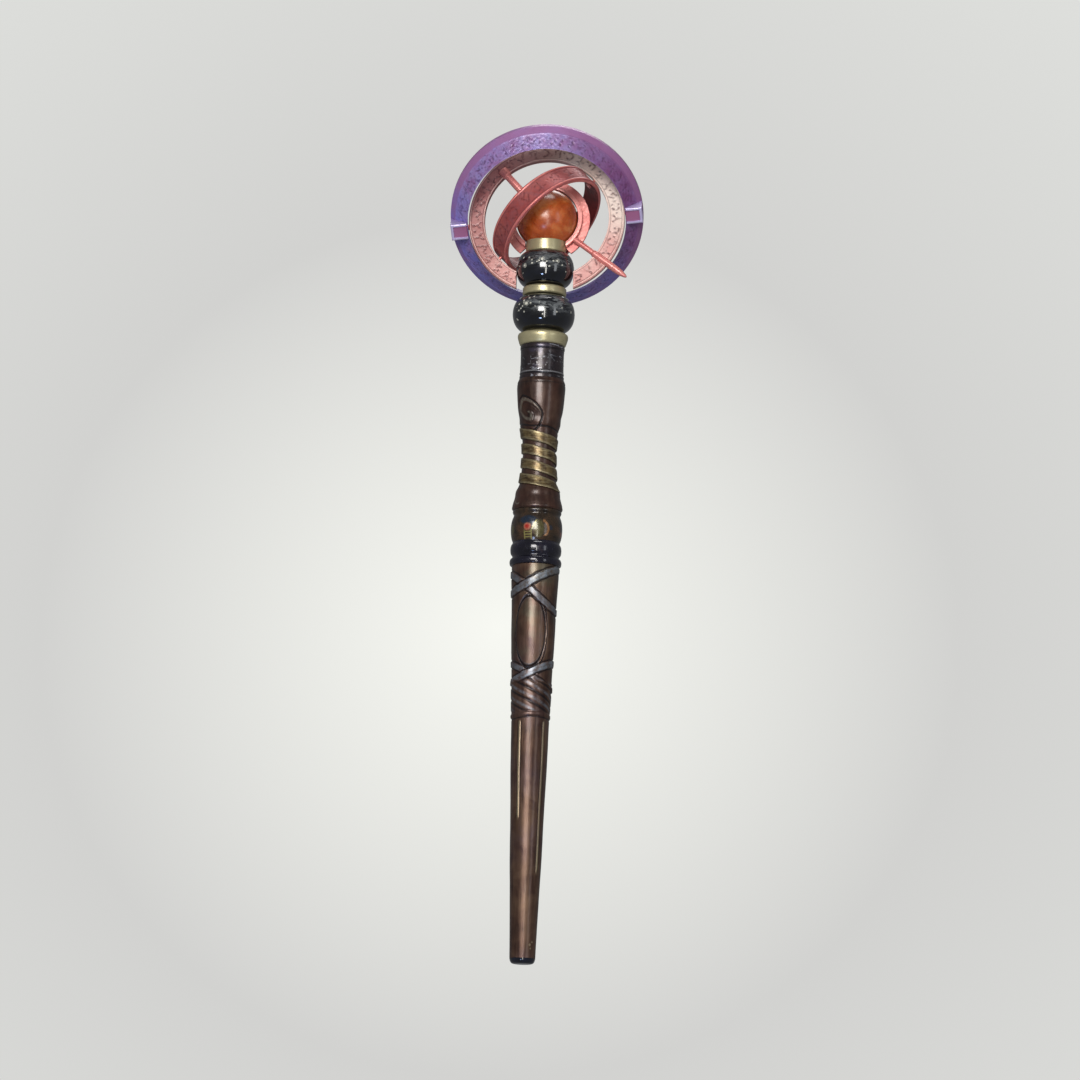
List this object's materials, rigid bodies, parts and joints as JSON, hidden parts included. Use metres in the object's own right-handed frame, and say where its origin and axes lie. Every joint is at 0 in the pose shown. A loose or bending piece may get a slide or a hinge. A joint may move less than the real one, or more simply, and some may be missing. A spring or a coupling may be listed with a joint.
{
  "type": "magic wand",
  "caption": "Turned magic wand with a tapering shaft, wrapped grip and beaded neck, topped by an orb inside tilted armillary rings that swing on pins.",
  "frame": {"origin": "centre of the flat end face of the tip", "axes": "+Z along the shaft from the tip up to the topper, +X to the right seen from the front, +Y away from the viewer"},
  "size_m": [0.0989, 0.0655, 0.4246],
  "materials": {
    "shaft_bronze": "bronze-brown metallic paint, satin, rubbed highlights",
    "tip_window": "dark glossy infra-red window",
    "reflector": "clear-white moulded reflector",
    "steel": "turned steel",
    "collar_black": "glossy blue-black lacquer",
    "ball_dark": "dark lacquer with small painted marks",
    "grip_brown": "dark brown lacquer over carved relief",
    "wrap_bronze": "gold-bronze metallic paint",
    "neck_dark": "dark lacquer with silver-grey rubbed marks",
    "gold": "brushed pale gold",
    "bead_black": "glossy black with worn silver dots",
    "orb_amber": "satin amber-brown",
    "horizon_purple": "purple metallic paint, rubbed relief",
    "meridian_salmon": "pale salmon metallic paint, dark washed relief",
    "band_red": "red-pink metallic paint, dark inside",
    "rod_pink": "pink metallic paint, satin",
    "pin_steel": "plain pin",
    "block_lavender": "pale lavender metallic paint"
  },
  "bodies": {
    "wand": {"tip_plug": "tip_window", "tip_reflector": "reflector", "lower_shaft": "shaft_bronze", "core_rod": "steel", "double_collar": "collar_black", "knuckle_ball": "ball_dark", "grip": "grip_brown", "grip_wrap": "wrap_bronze", "neck_sleeve": "neck_dark", "thread_insert": "gold", "flare_collar": "gold", "lower_bead": "bead_black", "bead_spacer": "gold", "upper_bead": "bead_black", "orb_cup": "gold", "orb": "orb_amber", "centre_stud": "steel", "meridian_ring": "meridian_salmon", "right_trunnion_pin": "pin_steel", "left_trunnion_pin": "pin_steel", "orb_ring": "rod_pink", "upper_rod": "rod_pink", "pointer_rod": "rod_pink"},
    "horizon": {"horizon_ring": "horizon_purple", "right_bearing_block": "block_lavender", "left_bearing_block": "block_lavender"},
    "band": {"equatorial_band": "band_red", "band_pin_upper": "pin_steel", "band_pin_lower": "pin_steel"}
  },
  "joints": [
    {"name": "horizon_swing", "type": "hinge", "parent": "wand", "child": "horizon", "pos_m": [0, 0, 0.3805], "axis": [0.9901, -0.0911, 0.1071], "range_deg": [-12, 110]},
    {"name": "band_tilt", "type": "hinge", "parent": "wand", "child": "band", "pos_m": [0, 0, 0.3805], "axis": [0.7438, -0.0105, 0.6683], "range_deg": [-8, 44]}
  ]
}
